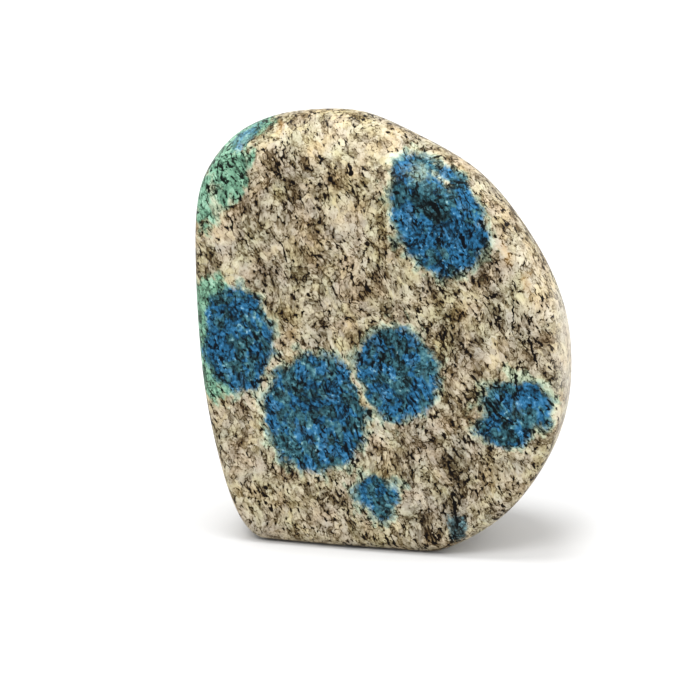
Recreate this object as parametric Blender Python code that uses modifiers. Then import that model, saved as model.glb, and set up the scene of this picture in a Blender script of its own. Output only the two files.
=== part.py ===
"""Azurite in granite: one polished freeform stone that stands on its sawn base.

The stone is a thick slab. Its broad front face looks along -Y and is nearly flat. The top
and the right-hand side roll over to a wall, and the back is a plain rounded dome. It is
lofted from a few rings, front to back, which subdivision rounds, and is then ground flat
underneath.
"""

from collections import namedtuple

import bmesh
import bpy
from mathutils import Matrix, Vector

MM = 0.001  # metres in a millimetre
NAME = "azurite_granite_stone"

# The front face, in millimetres
FACE_Y = -12.9  # the face's foot, in front of the stone's middle
FACE_LEAN = 0.05  # the face leans back this much for each unit of height
FACE_BULGE = 0.5  # the middle of the face stands this far proud of its rim
FACE_BORDER = 2.6  # the face stays flat to this many edge radii from its rim
FACE_CROWN = 0.5  # the crown's outline, as a share of the rim's
FACE_MIDDLE = (0.0, 28.0)  # x and z of the face's middle

# The roll-over from the face to the wall
ROLL_START = 0.3  # share of the swell reached one edge radius behind the face
ROLL_END = 0.8  # share of the swell reached at the shoulder
SHOULDER = 3.8  # how far the shoulder is behind the face, in millimetres

# The wall and the back, in millimetres
WALL_Y = -3.2  # where the stone is widest
WAIST_Y = 5.0  # where the wall turns towards the back
BACK_Y = 14.5  # the back's foot
BACK_LEAN = -0.06  # the back leans forward with height
BACK_TURN = 3.6  # how far in front of the back the wall ends
BACK_EDGE = 2.4  # how far the stone closes in between the waist and the wall's end
BACK_BORDER = 0.82  # the outline where the back begins, as a share of the wall's end
BACK_BULGE = 1.2  # the middle of the back stands this far proud of its border
BACK_CROWN = 0.45  # the outline of the back's crown, as a share of the wall's end

# A point of the front face's rim: x and z, how far the wall swells out beyond it, how far
# the wall draws in again at the waist, and the radius over which face turns to wall.
RimPoint = namedtuple("RimPoint", "x z swell waist edge")

# The rim, clockwise from the left end of the base, in millimetres
RIM = (
    RimPoint(-16.3, -1.4, 0.0, -1.0, 1.3),
    RimPoint(-19.9, 3.9, 0.2, 0.4, 1.2),
    RimPoint(-22.3, 11.0, 0.3, 1.2, 1.2),
    RimPoint(-24.4, 20.5, 0.4, 1.4, 1.2),
    RimPoint(-25.3, 31.0, 0.4, 1.4, 1.2),
    RimPoint(-25.8, 42.0, 0.4, 1.4, 1.2),
    RimPoint(-25.4, 48.5, 0.4, 1.6, 1.2),
    RimPoint(-23.4, 52.2, 1.1, 2.2, 1.0),
    RimPoint(-19.8, 54.2, 3.1, 2.6, 1.0),
    RimPoint(-14.4, 56.0, 3.8, 2.6, 1.2),
    RimPoint(-9.0, 55.4, 5.0, 2.6, 1.8),
    RimPoint(-4.0, 54.6, 6.0, 2.8, 2.0),
    RimPoint(1.4, 53.8, 4.5, 3.0, 2.0),
    RimPoint(6.5, 52.5, 3.6, 3.2, 2.0),
    RimPoint(11.0, 50.9, 2.8, 3.4, 1.6),
    RimPoint(15.2, 48.3, 1.8, 3.6, 1.4),
    RimPoint(18.1, 44.8, 1.6, 3.6, 1.4),
    RimPoint(21.1, 40.2, 1.7, 3.6, 1.4),
    RimPoint(24.3, 35.9, 0.6, 3.4, 1.3),
    RimPoint(25.7, 31.0, 0.5, 3.2, 1.3),
    RimPoint(26.3, 24.5, 0.4, 3.0, 1.3),
    RimPoint(25.8, 18.5, 0.1, 2.8, 1.3),
    RimPoint(23.6, 12.6, 0.0, 2.6, 1.3),
    RimPoint(19.6, 6.6, 0.0, 1.8, 1.3),
    RimPoint(14.0, 2.2, 0.0, 0.6, 1.3),
    RimPoint(6.8, -1.4, 0.0, -1.0, 1.3),
    RimPoint(-4.5, -1.4, 0.0, -1.2, 1.3),
)

GROUND_EASE = 0.5  # height over which the sawn base's edge is eased, in millimetres
SUBDIVISIONS = 2


def clear_scene():
    for obj in list(bpy.data.objects):
        bpy.data.objects.remove(obj)


def outward_normals():
    """The direction out of the stone at each rim point, in the plane of the rim."""
    normals = []
    for i in range(len(RIM)):
        before = RIM[i - 1]
        after = RIM[(i + 1) % len(RIM)]
        along = Vector((after.x - before.x, after.z - before.z)).normalized()
        normals.append(Vector((-along.y, along.x)))
    return normals


def face_y(z):
    return FACE_Y + FACE_LEAN * z


def back_y(z):
    return BACK_Y + BACK_LEAN * z


def wall_end(rim):
    """How far outside the rim the wall ends, before it rounds over to the back."""
    return rim.swell - rim.waist - BACK_EDGE


def ring(bm, grow, depth, share=1.0):
    """A loop of points round the stone. For a rim point, grow gives how far the loop lies
    outside it, and depth the loop's Y at a height. A share below 1 draws the loop towards
    the middle of the face."""
    verts = []
    for rim, normal in zip(RIM, outward_normals()):
        point = Vector((rim.x, rim.z)) + normal * grow(rim)
        x, z = Vector(FACE_MIDDLE).lerp(point, share)
        verts.append(bm.verts.new(Vector((x, depth(rim, z), z)) * MM))
    return verts


def skin(bm, front, behind):
    """The band of faces between two loops."""
    for i, corner in enumerate(front):
        bm.faces.new((front[i - 1], corner, behind[i], behind[i - 1]))


def cage():
    """The coarse form that subdivision rounds, from the front face to the back."""
    bm = bmesh.new()
    rings = [
        ring(bm, lambda rim: 0.0, lambda rim, z: face_y(z) - FACE_BULGE, share=FACE_CROWN),
        ring(bm, lambda rim: -FACE_BORDER * rim.edge, lambda rim, z: face_y(z)),
        ring(bm, lambda rim: -rim.edge, lambda rim, z: face_y(z)),
        ring(bm, lambda rim: ROLL_START * rim.swell, lambda rim, z: face_y(z) + rim.edge),
        ring(bm, lambda rim: ROLL_END * rim.swell, lambda rim, z: face_y(z) + SHOULDER),
        ring(bm, lambda rim: rim.swell, lambda rim, z: WALL_Y),
        ring(bm, lambda rim: rim.swell - rim.waist, lambda rim, z: WAIST_Y),
        ring(bm, wall_end, lambda rim, z: back_y(z) - BACK_TURN),
        ring(bm, wall_end, lambda rim, z: back_y(z), share=BACK_BORDER),
        ring(bm, wall_end, lambda rim, z: back_y(z) + BACK_BULGE, share=BACK_CROWN),
    ]
    for front, behind in zip(rings, rings[1:]):
        skin(bm, front, behind)
    for end in (rings[0], rings[-1]):
        bm.faces.new(end)
    bmesh.ops.recalc_face_normals(bm, faces=bm.faces)
    mesh = bpy.data.meshes.new("cage")
    bm.to_mesh(mesh)
    bm.free()
    return mesh


def rounded(mesh):
    """The cage's mesh after subdivision."""
    obj = bpy.data.objects.new("cage", mesh)
    bpy.context.scene.collection.objects.link(obj)
    subdivision = obj.modifiers.new("Subdivision", "SUBSURF")
    subdivision.levels = SUBDIVISIONS
    subdivision.render_levels = SUBDIVISIONS
    graph = bpy.context.evaluated_depsgraph_get()
    smooth = bpy.data.meshes.new_from_object(obj.evaluated_get(graph))
    bpy.data.objects.remove(obj)
    bpy.data.meshes.remove(mesh)
    return smooth


def grind_base(mesh):
    """Flattens what lies under Z = 0, and eases the edge between the base and the sides."""
    ease = GROUND_EASE * MM
    for vertex in mesh.vertices:
        z = vertex.co.z
        if z < -ease:
            vertex.co.z = 0.0
        elif z < ease:
            vertex.co.z = (z + ease) ** 2 / (4 * ease)


def centre_over_origin(mesh):
    """Puts the middle of the stone's bounding box over the origin."""
    xs = [vertex.co.x for vertex in mesh.vertices]
    ys = [vertex.co.y for vertex in mesh.vertices]
    middle = Vector((min(xs) + max(xs), min(ys) + max(ys), 0.0)) / 2
    mesh.transform(Matrix.Translation(-middle))


def stone_material():
    material = bpy.data.materials.new("polished_granite_with_azurite")
    material.use_nodes = True
    shader = material.node_tree.nodes["Principled BSDF"]
    shader.inputs["Base Color"].default_value = (0.42, 0.40, 0.34, 1.0)
    shader.inputs["Roughness"].default_value = 0.3
    shader.inputs["Metallic"].default_value = 0.0
    return material


def build():
    clear_scene()
    mesh = rounded(cage())
    grind_base(mesh)
    centre_over_origin(mesh)
    mesh.shade_smooth()
    mesh.name = NAME
    mesh.materials.append(stone_material())
    collection = bpy.data.collections.new("azurite in granite")
    bpy.context.scene.collection.children.link(collection)
    collection.objects.link(bpy.data.objects.new(NAME, mesh))


build()
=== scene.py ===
"""Azurite in granite: a polished freeform stone that stands on its sawn base.

It is one stone: pale granite with round stains of blue azurite, some of them rimmed with
green malachite. Below come the stone, the tabletop it stands on, the light and the camera.
"""

from collections import namedtuple
from math import cos, radians, sin

import bmesh
import bpy
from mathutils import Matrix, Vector, noise


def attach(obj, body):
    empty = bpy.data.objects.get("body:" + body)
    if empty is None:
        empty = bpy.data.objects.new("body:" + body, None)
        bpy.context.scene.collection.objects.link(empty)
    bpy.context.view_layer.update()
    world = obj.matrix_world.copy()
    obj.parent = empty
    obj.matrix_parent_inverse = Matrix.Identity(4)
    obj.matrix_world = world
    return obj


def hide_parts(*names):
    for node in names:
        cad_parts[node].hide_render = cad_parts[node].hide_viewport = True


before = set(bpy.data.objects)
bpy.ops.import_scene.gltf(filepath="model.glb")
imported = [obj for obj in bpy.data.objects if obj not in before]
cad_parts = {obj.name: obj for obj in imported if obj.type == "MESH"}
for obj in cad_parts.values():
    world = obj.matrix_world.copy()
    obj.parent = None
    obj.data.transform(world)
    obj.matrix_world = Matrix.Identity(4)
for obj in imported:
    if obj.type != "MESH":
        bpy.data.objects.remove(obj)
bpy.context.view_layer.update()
MM = 0.001  # metres in a millimetre


# The stone
# One lump of fine-grained granite, sawn flat underneath and ground by hand on a wheel, so its
# faces run in shallow waves and its edges are rolled over. The saw's sharp edge is rubbed round.

STONE = "azurite_granite_stone"
WELD = 0.002 * MM  # the solid's loose triangles share corners to within this
JOIN_BEND = radians(40)  # two triangles that bend less than this make one four-sided face
JOIN_SKEW = radians(60)  # as long as its corners are no further than this from square
ROUNDING = 2  # levels of subdivision, down to faces of about 0.35 mm
WAVE_LENGTH = 9 * MM  # from one hand-ground flat to the next
WAVE_DEPTH = 0.12 * MM  # and how far the surface dips between them
SAWN_EDGE = 2.5 * MM  # over this height the waves fade out towards the sawn base
EDGE = 2.6 * MM  # the radius that the base's edge is rubbed to
SIDES = range(0, 360, 4)  # the directions, in degrees, that it is rubbed from
STROKES = 8  # light strokes over the foot that leave it even
STROKE = 0.5  # each draws a point this far towards the middle of its neighbours


def refined(solid):
    """A copy of the solid's mesh, joined up and made smooth by subdivision."""
    bm = bmesh.new()
    bm.from_mesh(solid.data)
    bmesh.ops.remove_doubles(bm, verts=bm.verts, dist=WELD)
    bmesh.ops.join_triangles(
        bm, faces=bm.faces, angle_face_threshold=JOIN_BEND, angle_shape_threshold=JOIN_SKEW
    )
    mesh = bpy.data.meshes.new("azurite_granite")
    bm.to_mesh(mesh)
    bm.free()
    rough = bpy.data.objects.new("rough_stone", mesh)
    bpy.context.scene.collection.objects.link(rough)
    rounding = rough.modifiers.new("Rounding", "SUBSURF")
    rounding.levels = ROUNDING
    rounding.render_levels = ROUNDING
    graph = bpy.context.evaluated_depsgraph_get()
    fine = bpy.data.meshes.new_from_object(rough.evaluated_get(graph))
    bpy.data.objects.remove(rough)
    return fine


def grind(mesh):
    """Leaves the shallow waves of grinding by hand, everywhere but on the sawn base."""
    normals = [vertex.normal.copy() for vertex in mesh.vertices]
    for vertex, normal in zip(mesh.vertices, normals):
        dip = 0.5 + 0.5 * noise.noise(vertex.co / WAVE_LENGTH)  # from 0 to 1
        share = min(max(vertex.co.z / SAWN_EDGE, 0.0), 1.0)
        vertex.co -= normal * (WAVE_DEPTH * dip * share)


def rub_edge(mesh):
    """Rounds the edge between the sides and the sawn base to an arc. What stands proud of the
    arc goes onto it, and the walls that already slope in stay as they are."""
    bm = bmesh.new()
    bm.from_mesh(mesh)
    foot = [vertex for vertex in bm.verts if vertex.co.z < EDGE]
    sides = [Vector((cos(radians(side)), sin(radians(side)), 0.0)) for side in SIDES]
    reaches = [max(side.dot(vertex.co) for vertex in foot) for side in sides]
    for vertex in foot:
        insets = [reach - side.dot(vertex.co) for side, reach in zip(sides, reaches)]
        inset = min(insets)
        if inset < EDGE:
            turn = radians(90) * (EDGE - vertex.co.z + inset) / (2 * EDGE)
            inward = max(EDGE * (1 - cos(turn)) - inset, 0.0)
            vertex.co -= sides[insets.index(inset)] * inward
            vertex.co.z = max(EDGE * (1 - sin(turn)), vertex.co.z)
    for _ in range(STROKES):
        bmesh.ops.smooth_vert(
            bm, verts=foot, factor=STROKE, use_axis_x=True, use_axis_y=True, use_axis_z=True
        )
    bm.to_mesh(mesh)
    bm.free()


surface = refined(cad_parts[STONE])
grind(surface)
rub_edge(surface)
surface.shade_smooth()
stone = bpy.data.objects.new("azurite_granite", surface)
bpy.context.scene.collection.objects.link(stone)
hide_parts(STONE)
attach(stone, "root")

# Its material is biotite granite, polished to a soft gloss: cream feldspar, grey quartz and
# short black flecks of biotite, all drawn out along one fabric. Azurite has soaked into round
# patches of it, grain by grain, and malachite into the rims of some. The eye sees a pale
# speckled ground with round blue spots, their edges fading through mint.
POLISH = 0.38  # roughness: a polish dulled by handling
SHEEN = 0.07  # specular level: the darkest grains hardly mirror the white room

granite = bpy.data.materials.new("polished_granite_with_azurite")
granite.use_nodes = True
shader = granite.node_tree.nodes["Principled BSDF"]
shader.inputs["Roughness"].default_value = POLISH
shader.inputs["Specular IOR Level"].default_value = SHEEN


def linear(hex_code):
    """An sRGB colour such as "CFC5A8" as linear red, green, blue and alpha."""
    channels = [int(hex_code[i : i + 2], 16) / 255 for i in (0, 2, 4)]
    return [c / 12.92 if c < 0.04045 else ((c + 0.055) / 1.055) ** 2.4 for c in channels] + [1.0]


def add(kind, inputs=(), stops=(), **settings):
    """Adds a node to the granite. Each input is given a value, or the node or socket that it
    is linked to, and a colour ramp is given its stops, as position and colour."""
    node = granite.node_tree.nodes.new(kind)
    for name, value in settings.items():
        setattr(node, name, value)
    for name, value in dict(inputs).items():
        if isinstance(value, bpy.types.Node):
            value = value.outputs[0]
        if isinstance(value, bpy.types.NodeSocket):
            granite.node_tree.links.new(value, node.inputs[name])
        else:
            node.inputs[name].default_value = value
    for i, (position, colour) in enumerate(stops):
        spots = node.color_ramp.elements
        spot = spots[i] if i < 2 else spots.new(position)  # a new ramp has two
        spot.position = position
        spot.color = linear(colour)
    return node


def strayed(place, spacing, reach):
    """The place moved about by up to half the reach, in waves of that spacing, so that what is
    drawn on it strays as a pattern in rock does."""
    waves = add("ShaderNodeTexNoise", {"Vector": place, "Scale": 1 / spacing, "Detail": 1.0})
    about = add(
        "ShaderNodeVectorMath", {0: waves.outputs["Color"], 1: (0.5,) * 3}, operation="SUBTRACT"
    )
    return add(
        "ShaderNodeVectorMath", {0: about, 1: (reach,) * 3, 2: place}, operation="MULTIPLY_ADD"
    )


# The grains. From here on, lengths in the material are in millimetres, and what strays is given
# the spacing and the reach of its waves.
FABRIC = (0.0, radians(64), radians(8))  # the fabric dips steeply down to the right
BENDS = (6.0, 2.4)  # and bends a little
GRAIN_DRAW = (1.4, 1.2, 1.0)  # how far it draws the grains out, along it, behind and across
FLECK_DRAW = (2.2, 1.4, 1.0)  # the same for the flecks
GRAIN = 0.80  # a feldspar grain across
CHIP = 0.38  # the smaller grains between
RAGS = (0.35, 0.55)  # the grains' joints are ragged

place = add(
    "ShaderNodeVectorMath",
    {0: add("ShaderNodeTexCoord").outputs["Object"], 1: (1 / MM,) * 3},
    operation="MULTIPLY",
)
bent = strayed(place, *BENDS)
fabric, streaks = (
    add(
        "ShaderNodeMapping",
        {"Vector": bent, "Rotation": FABRIC, "Scale": draw},
        vector_type="TEXTURE",
    )
    for draw in (GRAIN_DRAW, FLECK_DRAW)
)
ragged = strayed(fabric, *RAGS)
grains = add("ShaderNodeTexVoronoi", {"Vector": ragged, "Scale": 1 / GRAIN})
chips = add("ShaderNodeTexVoronoi", {"Vector": ragged, "Scale": 1 / CHIP})
joints = add(
    "ShaderNodeTexVoronoi", {"Vector": ragged, "Scale": 1 / GRAIN}, feature="DISTANCE_TO_EDGE"
)
grain_kind = add("ShaderNodeSeparateColor", {0: grains.outputs["Color"]})
chip_kind = add("ShaderNodeSeparateColor", {0: chips.outputs["Color"]})

# Where the stone is marked. A blob has a middle, half-widths along, across and deep, and a
# lean: how many degrees its length dips to the right, as seen from the front.
Blob = namedtuple("Blob", "x y z long wide deep lean")

AZURITE = (
    Blob(8.3, -11.5, 47.0, 8.3, 6.0, 6.0, 60),  # at the upper right
    Blob(5.3, -10.5, 52.5, 3.3, 2.6, 4.0, 25),  # and its upper end
    Blob(-19.2, -11.5, 28.7, 7.3, 5.0, 7.0, 88),  # at the left edge
    Blob(-7.9, -13.0, 19.0, 8.2, 7.3, 8.0, 90),  # the largest
    Blob(3.3, -12.6, 25.3, 6.4, 5.8, 6.0, 80),  # to the right of it
    Blob(19.8, -12.8, 21.5, 5.0, 3.7, 4.5, 12),  # at the right edge, with cracks
    Blob(17.9, -13.0, 18.9, 3.7, 2.7, 3.0, 0),  # and its lower end
    Blob(0.7, -13.6, 8.4, 3.1, 2.6, 2.5, 0),  # the small shield near the foot
    Blob(1.3, -13.6, 6.7, 2.1, 2.0, 1.5, 80),  # and its point
    Blob(-10.0, 12.0, 41.0, 7.4, 5.6, 5.0, 70),  # five on the back
    Blob(10.5, 12.5, 31.0, 8.0, 6.6, 6.0, 100),
    Blob(-5.0, 12.5, 14.5, 5.2, 4.5, 4.0, 80),
    Blob(15.0, 10.5, 13.0, 4.4, 3.6, 4.0, 40),
    Blob(-18.0, 11.0, 24.0, 3.0, 2.5, 2.5, 60),
    Blob(25.0, 1.5, 37.0, 4.6, 3.4, 4.2, 90),  # on the right side
    Blob(3.0, 4.5, 58.0, 5.0, 3.0, 4.4, 10),  # on the top
    Blob(-25.0, 3.0, 19.0, 4.2, 3.0, 3.8, 90),  # on the left side
)
BARE = (  # gaps in the azurite that were left unstained
    Blob(-1.7, -13.0, 23.2, 4.2, 0.5, 3.0, 66),  # between the largest and the one beside it
    Blob(14.3, -12.9, 22.3, 1.9, 1.3, 2.0, 60),  # to the left of the one at the right edge
    Blob(22.8, -12.8, 18.2, 1.7, 0.9, 2.0, 75),  # and at its lower right
    Blob(8.4, -10.8, 51.8, 1.1, 0.4, 2.0, 40),  # at the upper right one's upper end
)
FAINT_AZURITE = (Blob(-18.9, -8.0, 56.0, 2.8, 1.2, 3.0, -38),)  # in the green at the upper left
DULL_AZURITE = (Blob(12.2, -13.5, 4.2, 2.2, 1.4, 1.5, 75),)  # on the dark streak at the foot
HIGHLIT_AZURITE = (Blob(5.5, -10.5, 52.6, 1.7, 1.3, 2.0, 20),)  # painted highlight on the upper right spot's end, where it rolls over the crest
MALACHITE = (
    Blob(-20.0, -11.2, 51.0, 4.6, 1.9, 3.0, 113),  # round the upper left corner
    Blob(-24.6, -11.2, 48.0, 4.0, 2.0, 3.0, 82),
    Blob(-21.8, -10.0, 52.6, 3.4, 2.6, 3.5, -35),
    Blob(-20.0, -5.5, 56.5, 5.2, 3.4, 5.0, -35),
    Blob(-22.5, -10.5, 29.0, 8.5, 5.2, 7.0, 88),  # round the spot at the left edge
    Blob(-10.0, 12.0, 41.0, 8.4, 6.6, 5.0, 70),  # round a spot on the back
    Blob(24.5, 3.5, 36.0, 5.6, 4.0, 5.5, 90),  # and round the right side's
)
MINT = (  # thinner malachite
    Blob(-22.4, -11.0, 49.6, 4.5, 2.8, 3.0, 80),  # in the upper left corner
    Blob(24.3, -12.0, 23.6, 1.4, 0.9, 2.0, 60),  # round the spot at the right edge
    Blob(21.0, -12.7, 25.8, 3.0, 1.1, 2.0, 15),
    Blob(-14.0, -13.0, 14.8, 2.6, 1.3, 2.0, 60),  # at the largest spot's lower left
    Blob(4.6, -10.5, 55.0, 3.0, 1.2, 2.0, 10),  # above the spot at the upper right
)
DUSKY = (  # bands rich in biotite
    Blob(13.8, -12.0, 40.0, 3.0, 1.6, 3.0, 66),  # on the front
    Blob(9.5, -12.6, 36.5, 5.0, 2.0, 3.0, 70),
    Blob(10.2, -12.8, 27.0, 5.0, 1.2, 3.0, 86),
    Blob(11.9, -13.4, 11.5, 7.0, 0.9, 3.0, 84),
    Blob(14.0, -12.9, 22.0, 1.8, 1.4, 2.0, 60),
    Blob(22.6, -12.8, 18.4, 2.0, 0.9, 2.0, 75),
    Blob(24.0, -11.0, 35.8, 1.5, 1.0, 2.0, 60),
    Blob(8.0, -11.2, 48.2, 2.3, 1.3, 2.0, 60),
    Blob(12.2, -13.5, 4.2, 1.8, 1.0, 1.5, 82),
    Blob(2.0, -12.6, 29.5, 3.6, 1.3, 2.0, 20),
    Blob(-11.0, -11.8, 49.0, 3.0, 1.2, 2.0, 60),
    Blob(12.0, 12.0, 44.0, 6.0, 1.6, 4.0, 70),  # on the back
    Blob(-14.0, 12.0, 30.0, 5.0, 1.4, 4.0, 80),
)
PALE_AND_HIGHLIT = (  # patches with few flecks, and painted highlight where the crest catches the light
    Blob(-3.0, -8.5, 56.0, 9.5, 3.0, 5.0, 3),  # painted highlight along the crest
    Blob(-4.9, -12.0, 47.0, 3.4, 2.2, 3.0, 62),  # and on the front
    Blob(17.8, -12.4, 28.8, 2.6, 1.8, 3.0, 62),
    Blob(16.6, -11.2, 44.4, 1.6, 1.2, 2.0, 50),
    Blob(20.5, -11.2, 39.0, 8.0, 2.2, 4.0, 62),
    Blob(-21.0, -11.5, 40.5, 4.0, 2.2, 3.0, 80),
    Blob(5.6, -10.5, 53.2, 1.9, 1.6, 2.0, 0),
    Blob(-18.9, -8.0, 56.0, 3.2, 1.8, 3.0, -38),
    Blob(-6.0, -8.8, 55.0, 3.4, 1.8, 3.0, 0),
    Blob(-2.0, 12.5, 50.0, 6.0, 3.0, 4.0, 10),  # on the back
    Blob(3.0, 13.0, 21.0, 4.0, 2.4, 4.0, 60),
)
EDGE_SHEEN = (Blob(26.4, -7.0, 30.0, 17.0, 3.2, 5.0, 93),)  # painted sheen: the right edge is painted whitish where it catches the light
TAN = (  # where the feldspar has weathered
    Blob(20.9, -11.8, 38.4, 1.2, 0.4, 2.0, 75),  # near the right edge
    Blob(17.6, -11.4, 42.6, 1.4, 0.5, 2.0, 60),
    Blob(-24.6, -11.5, 34.8, 1.3, 0.6, 2.0, 90),  # at the left edge
    Blob(-14.0, -8.0, 57.4, 1.0, 0.6, 2.0, 60),  # on the crest
    Blob(6.0, 13.0, 40.0, 1.6, 0.6, 3.0, 70),  # on the back
)
GREY = (  # where quartz outweighs feldspar
    Blob(9.0, -12.8, 14.0, 10.0, 6.0, 6.0, 80),  # at the lower right
    Blob(14.0, -12.0, 42.0, 6.0, 3.5, 5.0, 60),  # and at the upper right
)
CRACKS = (  # clusters and strings of biotite, larger than the flecks
    Blob(-3.7, -10.5, 52.6, 1.0, 0.30, 2.0, 80),  # on the crest
    Blob(-7.8, -10.0, 53.9, 0.6, 0.25, 2.0, 60),
    Blob(-6.3, -10.8, 51.2, 0.6, 0.25, 2.0, 60),
    Blob(7.9, -11.2, 48.4, 0.9, 0.40, 2.0, 30),  # in the spot at the upper right
    Blob(8.6, -11.3, 47.6, 0.7, 0.30, 2.0, 70),
    Blob(5.5, -11.3, 50.6, 0.8, 0.22, 2.0, 80),
    Blob(2.9, -11.3, 49.9, 0.4, 0.35, 2.0, 40),
    Blob(12.0, -11.8, 43.8, 1.2, 0.35, 2.0, 70),
    Blob(19.0, -12.3, 34.2, 2.6, 0.12, 2.0, 88),  # by the right edge
    Blob(21.8, -12.3, 29.4, 2.3, 0.18, 2.0, 72),
    Blob(15.35, -12.9, 23.5, 1.1, 0.20, 2.0, 71),  # in the spot at the right edge
    Blob(16.6, -12.9, 21.5, 1.5, 0.28, 2.0, 49),
    Blob(18.7, -12.9, 19.9, 1.4, 0.18, 2.0, 25),
    Blob(19.7, -12.7, 25.1, 1.3, 0.20, 2.0, 84),
    Blob(19.6, -12.7, 23.3, 0.6, 0.18, 2.0, 110),
    Blob(17.7, -12.8, 22.7, 0.7, 0.20, 2.0, 98),
    Blob(17.1, -12.8, 24.4, 0.7, 0.16, 2.0, 0),
    Blob(11.7, -13.4, 6.9, 2.7, 0.24, 1.5, 81),  # the streak at the foot
    Blob(-21.4, -11.3, 50.8, 0.7, 0.25, 2.0, 70),  # in the green at the upper left
    Blob(-22.4, -11.3, 49.2, 0.7, 0.15, 2.0, 80),
    Blob(-23.6, -11.3, 49.2, 0.6, 0.18, 2.0, 75),
    Blob(-18.9, -11.3, 48.1, 0.4, 0.25, 2.0, 60),
    Blob(-20.1, -11.3, 47.0, 0.6, 0.18, 2.0, 0),
)
STRAYS = (2.6, 2.6)  # a stain's outline strays
GRAIN_STEP = 0.5  # how far single grains lead a stain on or stop it
SIGHT = 4.0  # a blob is seen from this many times its half-widths away
OUT_OF_SIGHT = 100.0  # further than any blob is seen from


def nearest(place, blobs):
    """How far outside the nearest blob a place is, and less than 0 inside."""
    gap = OUT_OF_SIGHT
    for blob in blobs:
        within = add(
            "ShaderNodeMapping",
            {
                "Vector": place,
                "Location": (blob.x, blob.y, blob.z),
                "Rotation": (0.0, radians(blob.lean), 0.0),
                "Scale": (blob.long * SIGHT, blob.deep * SIGHT, blob.wide * SIGHT),
            },
            vector_type="TEXTURE",
        )
        ball = add("ShaderNodeTexGradient", {"Vector": within}, gradient_type="SPHERICAL")
        size = (blob.long * blob.wide) ** 0.5
        outside = add(
            "ShaderNodeMath",
            {0: ball.outputs["Fac"], 1: -size * SIGHT, 2: size * (SIGHT - 1)},
            operation="MULTIPLY_ADD",
        )
        gap = add("ShaderNodeMath", {0: gap, 1: outside}, operation="MINIMUM")
    return gap


soaked = strayed(place, *STRAYS)


def stained(blobs):
    """How far outside the nearest blob a place is, as a stain has run among the grains."""
    gap = add("ShaderNodeMath", {0: nearest(soaked, blobs), 1: GRAIN_STEP / 2}, operation="SUBTRACT")
    return add(
        "ShaderNodeMath", {0: chip_kind.outputs[2], 1: GRAIN_STEP, 2: gap}, operation="MULTIPLY_ADD"
    )


# How much of these marks there is at a place, from 0 to 1. Each fades over the distance given
# with it, to either side of its outline.
EDGE_SHEEN_FADE = 3.0  # the painted sheen on the right edge has the softest edge
edge_sheen_gap = stained(EDGE_SHEEN)
pale_and_highlit, edge_sheen, dusky, grey = (
    add(
        "ShaderNodeMapRange",
        {"Value": gap, "From Min": edge, "From Max": -edge},
        interpolation_type="SMOOTHSTEP",
    )
    for gap, edge in (
        (stained(PALE_AND_HIGHLIT), 0.9),
        (edge_sheen_gap, EDGE_SHEEN_FADE),
        (stained(DUSKY), 0.7),
        (stained(GREY), 1.5),
    )
)


def scattered(place, spacing, start, full, most=1.0):
    """How far scattered patches of that spacing cover a place, from none to the most. Their
    noise lies about 0.5, so the higher start and full are above it, the fewer they are."""
    waves = add("ShaderNodeTexNoise", {"Vector": place, "Scale": 1 / spacing, "Detail": 0.0})
    return add(
        "ShaderNodeMapRange",
        {"Value": waves, "From Min": start, "From Max": full, "To Max": most},
        interpolation_type="SMOOTHSTEP",
    )


# Thin brown films in the joints between grains, which come and go
FILM_GAP = 1.1  # from one film to the next
FILM_EDGE, FILM_HEART = 0.15, 0.02  # it fades in between these depths from a joint, in grains
joint = add(
    "ShaderNodeMapRange",
    {"Value": joints, "From Min": FILM_EDGE, "From Max": FILM_HEART},
    interpolation_type="SMOOTHSTEP",
)
filmed = scattered(fabric, FILM_GAP, 0.38, 0.62)
films = add("ShaderNodeMath", {0: joint, 1: filmed}, operation="MULTIPLY")

# Biotite: short black flecks along the fabric, thick on the ground in some bands, the rock
# between them smoky. Each value below counts by its weight.
FLECK = 0.44  # from one fleck to the next
FLECK_BENDS = (0.4, 0.35)  # a fleck is bent
BAND = 3.0  # from one band rich in flecks to the next
FLECK_START, FLECK_FULL = 0.85, 0.92  # a fleck's edge and its heart
SMOKE_START, SMOKE_FULL = 0.63, 0.87  # the smoky rock round it
BLACK = 0.95  # how far a fleck hides the rock
SPECK = 0.27  # the smallest dark specks
bent_streaks = strayed(streaks, *FLECK_BENDS)
flecks = 0.0
for value, weight in (
    (add("ShaderNodeTexNoise", {"Vector": bent_streaks, "Scale": 1 / FLECK, "Detail": 1.0}), 1.0),
    (add("ShaderNodeTexNoise", {"Vector": streaks, "Scale": 1 / BAND}), 0.40),
    (films, 0.12),
    (pale_and_highlit, -0.05),
    (edge_sheen, -0.09),
    (dusky, 0.04),
):
    flecks = add("ShaderNodeMath", {0: value, 1: weight, 2: flecks}, operation="MULTIPLY_ADD")
flecked, smoky = (
    add(
        "ShaderNodeMapRange",
        {"Value": flecks, "From Min": start, "From Max": full, "To Max": most},
        interpolation_type="SMOOTHSTEP",
    )
    for start, full, most in ((FLECK_START, FLECK_FULL, BLACK), (SMOKE_START, SMOKE_FULL, 1.0))
)
specks = scattered(ragged, SPECK, 0.66, 0.74)

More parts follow.
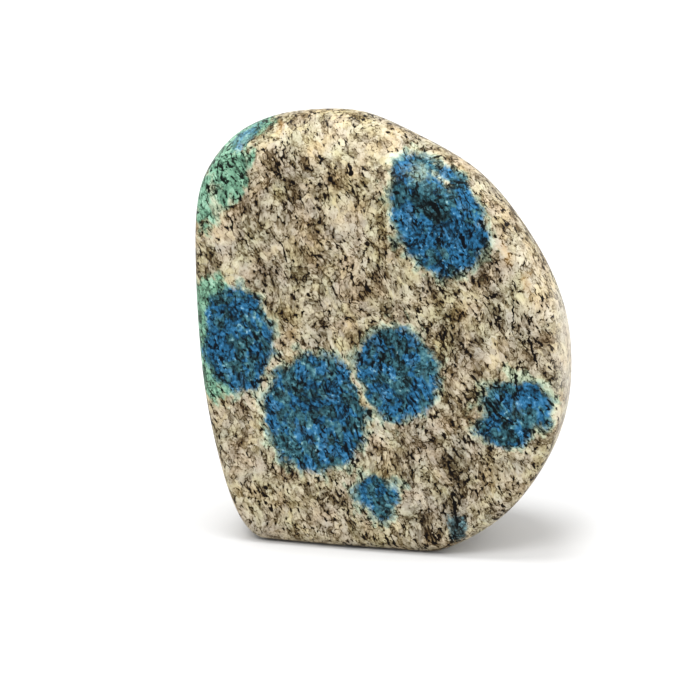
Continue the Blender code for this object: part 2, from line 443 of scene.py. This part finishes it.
# How pale the rock is at a place, from 0 to 1. The parts that vary add up to about 0.5 over
# the base, and flecks and cracks bring it down to black.
TONE_BASE = -0.155
PATCH = 2.6  # a paler or darker patch
SMUDGE = 1.0  # a smaller one
GRIT = 0.22  # the finest unevenness
CRACK_BENDS = (0.6, 0.9)  # a crack is bent
CRACK_EDGE = 0.1  # and sharp
tone = TONE_BASE
for value, weight in (
    (grain_kind.outputs[0], 0.25),
    (chip_kind.outputs[0], 0.22),
    (add("ShaderNodeTexNoise", {"Vector": fabric, "Scale": 1 / PATCH, "Detail": 1.0}), 0.45),
    (add("ShaderNodeTexNoise", {"Vector": streaks, "Scale": 1 / SMUDGE, "Detail": 0.0}), 0.30),
    (add("ShaderNodeTexNoise", {"Vector": fabric, "Scale": 1 / GRIT, "Detail": 0.0}), 0.22),
    (films, -0.17),
    (smoky, -0.12),
    (specks, -0.28),
    (dusky, -0.10),
    (pale_and_highlit, 0.11),
    (edge_sheen, 0.09),
):
    tone = add("ShaderNodeMath", {0: value, 1: weight, 2: tone}, operation="MULTIPLY_ADD")
cracked = add(
    "ShaderNodeMapRange",
    {
        "Value": nearest(strayed(place, *CRACK_BENDS), CRACKS),
        "From Min": CRACK_EDGE,
        "From Max": -CRACK_EDGE,
    },
    interpolation_type="SMOOTHSTEP",
)
for dark in (flecked, cracked):
    clear = add("ShaderNodeMath", {0: 1.0, 1: dark}, operation="SUBTRACT")
    tone = add("ShaderNodeMath", {0: tone, 1: clear}, operation="MULTIPLY")

# Each mineral's colours, from its darkest grain to its palest. The blue has a mottling of its
# own, which leaves its tone a little darker than the rock's.
MOTTLE = 0.45  # from a dark place to a light one
MOTTLE_SHARE, MOTTLE_BASE = 1.2, 0.32
TONE_STEPS = (0.0, 0.15, 0.28, 0.39, 0.50, 0.61, 0.72, 0.86, 1.0)
GRANITE_COLOURS = (
    "060302", "2A1D0C", "50432D", "72664F", "908671", "A99F89", "B7AE98", "C0B8A3", "CEC7B3"
)
AZURITE_COLOURS = (
    "00060E", "04151F", "0F2A3C", "17425C", "205476", "296187", "356D94", "4A80A2", "7099B2"
)
TEAL_COLOURS = (
    "020608", "0A1719", "152A2F", "203F47", "2C525D", "38626C", "45717A", "5A848B", "7F9E9E"
)
MALACHITE_COLOURS = (
    "08100B", "1A2B21", "334D3F", "496D5A", "5D8B73", "71A087", "88B39A", "A1C5AE", "BBD8C4"
)
HALO_COLOURS = (
    "0C1009", "2E372B", "596653", "7F8F79", "9EAE96", "B3C3A9", "C0CEB5", "CDD8C1", "DDE5D3"
)
mottle = add("ShaderNodeTexNoise", {"Vector": place, "Scale": 1 / MOTTLE, "Detail": 0.0})
mottle = add(
    "ShaderNodeMath", {0: mottle, 1: MOTTLE_SHARE, 2: MOTTLE_BASE}, operation="MULTIPLY_ADD"
)
blue_tone = add("ShaderNodeMath", {0: tone, 1: mottle}, operation="MULTIPLY")
rock, azure, teal, green, halo = (
    add("ShaderNodeValToRGB", {"Fac": fac}, stops=zip(TONE_STEPS, colours)).outputs["Color"]
    for fac, colours in (
        (tone, GRANITE_COLOURS),
        (blue_tone, AZURITE_COLOURS),
        (blue_tone, TEAL_COLOURS),
        (tone, MALACHITE_COLOURS),
        (tone, HALO_COLOURS),
    )
)

# Quartz leans to grey and weathered feldspar to yellow, and both a little to pink or green
TINTS = ((0.25, "E6E8F2"), (0.50, "FFFFFF"), (0.62, "FFFDF2"), (0.85, "FFF5D8"))
BLUSHES = ((0.30, "FFF6F0"), (0.50, "FFFFFF"), (0.70, "FAFFF5"))
HUE_PATCH = 4.4  # from one patch of a hue to the next
BLUSH_PATCH = 3.4
HUE_BASE = -0.05
hue = HUE_BASE
for value, weight in (
    (add("ShaderNodeTexNoise", {"Vector": place, "Scale": 1 / HUE_PATCH}), 0.85),
    (grain_kind.outputs[1], 0.25),
    (grey, -0.10),
    (pale_and_highlit, 0.06),
):
    hue = add("ShaderNodeMath", {0: value, 1: weight, 2: hue}, operation="MULTIPLY_ADD")
blush = add("ShaderNodeTexNoise", {"Vector": bent, "Scale": 1 / BLUSH_PATCH})
for fac, stops in ((hue, TINTS), (blush, BLUSHES)):
    tint = add("ShaderNodeValToRGB", {"Fac": fac}, stops=stops).outputs["Color"]
    rock = add(
        "ShaderNodeMix", {0: 1.0, 6: rock, 7: tint}, data_type="RGBA", blend_type="MULTIPLY"
    ).outputs[2]

# The blue: pure azurite in patches, dull teal where it is thinly spread or mixed, and a few
# tiny pale dots of bare feldspar
BLUE_PATCH = 1.7  # from one pure patch to the next
BLUE_PATCH_SHARE = 0.75  # how far the patches sway the hue
TEAL_START, TEAL_FULL = 0.83, 0.93  # where the hue turns from blue to teal
DOT = 0.45  # from a dot to the next, where they lie close
DOT_COLOUR = "8DB4BE"
blue_hue = add("ShaderNodeTexNoise", {"Vector": fabric, "Scale": 1 / BLUE_PATCH, "Detail": 1.0})
blue_hue = add("ShaderNodeMath", {0: blue_hue, 1: BLUE_PATCH_SHARE, 2: hue}, operation="MULTIPLY_ADD")
teal_share = add(
    "ShaderNodeMapRange",
    {"Value": blue_hue, "From Min": TEAL_START, "From Max": TEAL_FULL},
    interpolation_type="SMOOTHSTEP",
)
dots = scattered(place, DOT, 0.76, 0.84, most=0.5)
blue = azure
for over, share in ((teal, teal_share), (linear(DOT_COLOUR), dots)):
    blue = add("ShaderNodeMix", {0: share, 6: blue, 7: over}, data_type="RGBA").outputs[2]

# How far out each stain reaches. The azurite leaves its bare gaps out, and single grains took a
# little less of it. The rims and the green come and go: their outline lies furthest out, in
# millimetres, where the noise called run is 0, and is drawn in where it is more.
RUN = 1.2  # from one place where a stain reaches far to the next
HALO_WIDTH = 0.6  # the pale halo shows this far outside the teal rim
THIN_PATCH = 1.5  # from one place where the azurite is thin to the next
THIN_START, THIN_FULL = 0.55, 0.72  # the azurite thins between these heights of its noise
THINNEST = 0.92  # and this share of it is left
bare_gap = add("ShaderNodeMath", {0: stained(BARE), 1: -1.0}, operation="MULTIPLY")
blue_gap = add("ShaderNodeMath", {0: stained(AZURITE), 1: bare_gap}, operation="MAXIMUM")
run = add("ShaderNodeTexNoise", {"Vector": fabric, "Scale": 1 / RUN, "Detail": 1.0})
rim_gap, mint_gap, green_gap = (
    add(
        "ShaderNodeMath",
        {0: run, 1: drawn_in, 2: add("ShaderNodeMath", {0: gap, 1: furthest}, operation="SUBTRACT")},
        operation="MULTIPLY_ADD",
    )
    for gap, drawn_in, furthest in (
        (blue_gap, 4.6, 2.4),
        (stained(MINT), 4.0, 2.0),
        (stained(MALACHITE), 4.0, 2.0),
    )
)
halo_gap = add("ShaderNodeMath", {0: rim_gap, 1: HALO_WIDTH}, operation="SUBTRACT")
thin = add(
    "ShaderNodeMapRange",
    {
        "Value": add("ShaderNodeTexNoise", {"Vector": ragged, "Scale": 1 / THIN_PATCH, "Detail": 1.0}),
        "From Min": THIN_START,
        "From Max": THIN_FULL,
        "To Min": 1.0,
        "To Max": THINNEST,
    },
    interpolation_type="SMOOTHSTEP",
)

# The stains are laid on, each over the one before: its colour, how far outside it a place is,
# how far it fades to either side of its outline, and how much of it there is at most
# The right edge is painted whitish, a painted sheen where it catches the light.
EDGE_SHEEN_COLOUR = "E9E6DC"
TAN_COLOUR = "B58B4C"
colour = rock
for over, gap, edge, most in (
    (linear(EDGE_SHEEN_COLOUR), edge_sheen_gap, EDGE_SHEEN_FADE, 0.14),
    (linear(TAN_COLOUR), stained(TAN), 0.6, 0.30),
    (halo, halo_gap, 0.6, 0.60),
    (halo, mint_gap, 0.5, 0.65),
    (teal, rim_gap, 0.5, 0.50),
    (green, green_gap, 0.8, 0.92),
    (blue, stained(FAINT_AZURITE), 0.6, 0.75),
    (blue, blue_gap, 0.6, thin),
    (teal, stained(DULL_AZURITE), 0.5, 0.85),
    # painted highlight on the blue at the crest
    (halo, stained(HIGHLIT_AZURITE), 0.6, 0.35),
):
    share = add(
        "ShaderNodeMapRange",
        {"Value": gap, "From Min": edge, "From Max": -edge, "To Max": most},
        interpolation_type="SMOOTHSTEP",
    )
    colour = add("ShaderNodeMix", {0: share, 6: colour, 7: over}, data_type="RGBA").outputs[2]
granite.node_tree.links.new(colour, shader.inputs["Base Color"])

# The polish is level to the touch, but softer grains lie a little lower
RELIEF_DEPTH = 0.04
RELIEF = 0.25  # how strongly it shows
relief = add(
    "ShaderNodeBump",
    {
        "Strength": RELIEF,
        "Distance": RELIEF_DEPTH * MM,
        "Height": add("ShaderNodeTexNoise", {"Vector": fabric, "Scale": 1 / CHIP, "Detail": 0.0}),
    },
)
granite.node_tree.links.new(relief.outputs["Normal"], shader.inputs["Normal"])
stone.data.materials.clear()
stone.data.materials.append(granite)


# The tabletop
# A plain sheet of matt white board, large enough to fill the view behind the stone from any
# side. It is pale grey rather than white, because the lights are strong.

TABLE_HALF = 4.0  # half its width, in metres

bm = bmesh.new()
bmesh.ops.create_grid(bm, x_segments=1, y_segments=1, size=TABLE_HALF)
sheet = bpy.data.meshes.new("tabletop")
bm.to_mesh(sheet)
bm.free()
table = bpy.data.objects.new("tabletop", sheet)
bpy.context.scene.collection.objects.link(table)
white = bpy.data.materials.new("matt_white_board")
white.use_nodes = True
board = white.node_tree.nodes["Principled BSDF"]
board.inputs["Base Color"].default_value = linear("C8C8C8")
board.inputs["Roughness"].default_value = 0.9
board.inputs["Specular IOR Level"].default_value = 0.1
sheet.materials.append(white)


# The light
# Soft daylight in a white room: a skylight nearly overhead, a window in front of the stone and
# a broad one to its right. They are wide enough in the sky for soft shadows.

LIGHTS = (  # name, the direction it comes from, its width in the sky, and its strength
    ("overhead", (-0.16, 0.03, 1.0), radians(30), 2.2),
    ("window", (-0.15, -0.62, 0.76), radians(26), 1.4),
    ("side_window", (0.85, 0.0, 0.52), radians(60), 1.8),
)
ROOM_WHITE = (1.0, 1.0, 1.0, 1.0)
ROOM_STRENGTH = 1.0

for name, source, width, strength in LIGHTS:
    lamp = bpy.data.lights.new(name, "SUN")
    lamp.angle = width
    lamp.energy = strength
    light = bpy.data.objects.new(name, lamp)
    light.rotation_mode = "QUATERNION"
    light.rotation_quaternion = (-Vector(source)).to_track_quat("-Z", "Y")
    bpy.context.scene.collection.objects.link(light)

room = bpy.data.worlds.new("pale_room")
room.use_nodes = True
room.node_tree.nodes["Background"].inputs["Color"].default_value = ROOM_WHITE
room.node_tree.nodes["Background"].inputs["Strength"].default_value = ROOM_STRENGTH
bpy.context.scene.world = room
bpy.context.scene.view_settings.view_transform = "Standard"


# The camera
# A long lens, from a little to the right of the face and a little above it. It is aimed a bit
# to the left of the stone's middle and below it.

CAMERA_TURN = radians(14)
CAMERA_RISE = radians(14)
CAMERA_DISTANCE = 0.354  # in metres, from the point that it is aimed at
CAMERA_AIM = Vector((-6.16, -0.81, 25.2)) * MM
LENS, SENSOR = 129.5, 36  # in millimetres

back = Vector(
    (sin(CAMERA_TURN) * cos(CAMERA_RISE), -cos(CAMERA_TURN) * cos(CAMERA_RISE), sin(CAMERA_RISE))
)
camera_data = bpy.data.cameras.new("camera")
camera_data.lens = LENS
camera_data.sensor_width = SENSOR
camera = bpy.data.objects.new("camera", camera_data)
camera.location = CAMERA_AIM + back * CAMERA_DISTANCE
camera.rotation_mode = "QUATERNION"
camera.rotation_quaternion = (-back).to_track_quat("-Z", "Y")
bpy.context.scene.collection.objects.link(camera)
bpy.context.scene.camera = camera
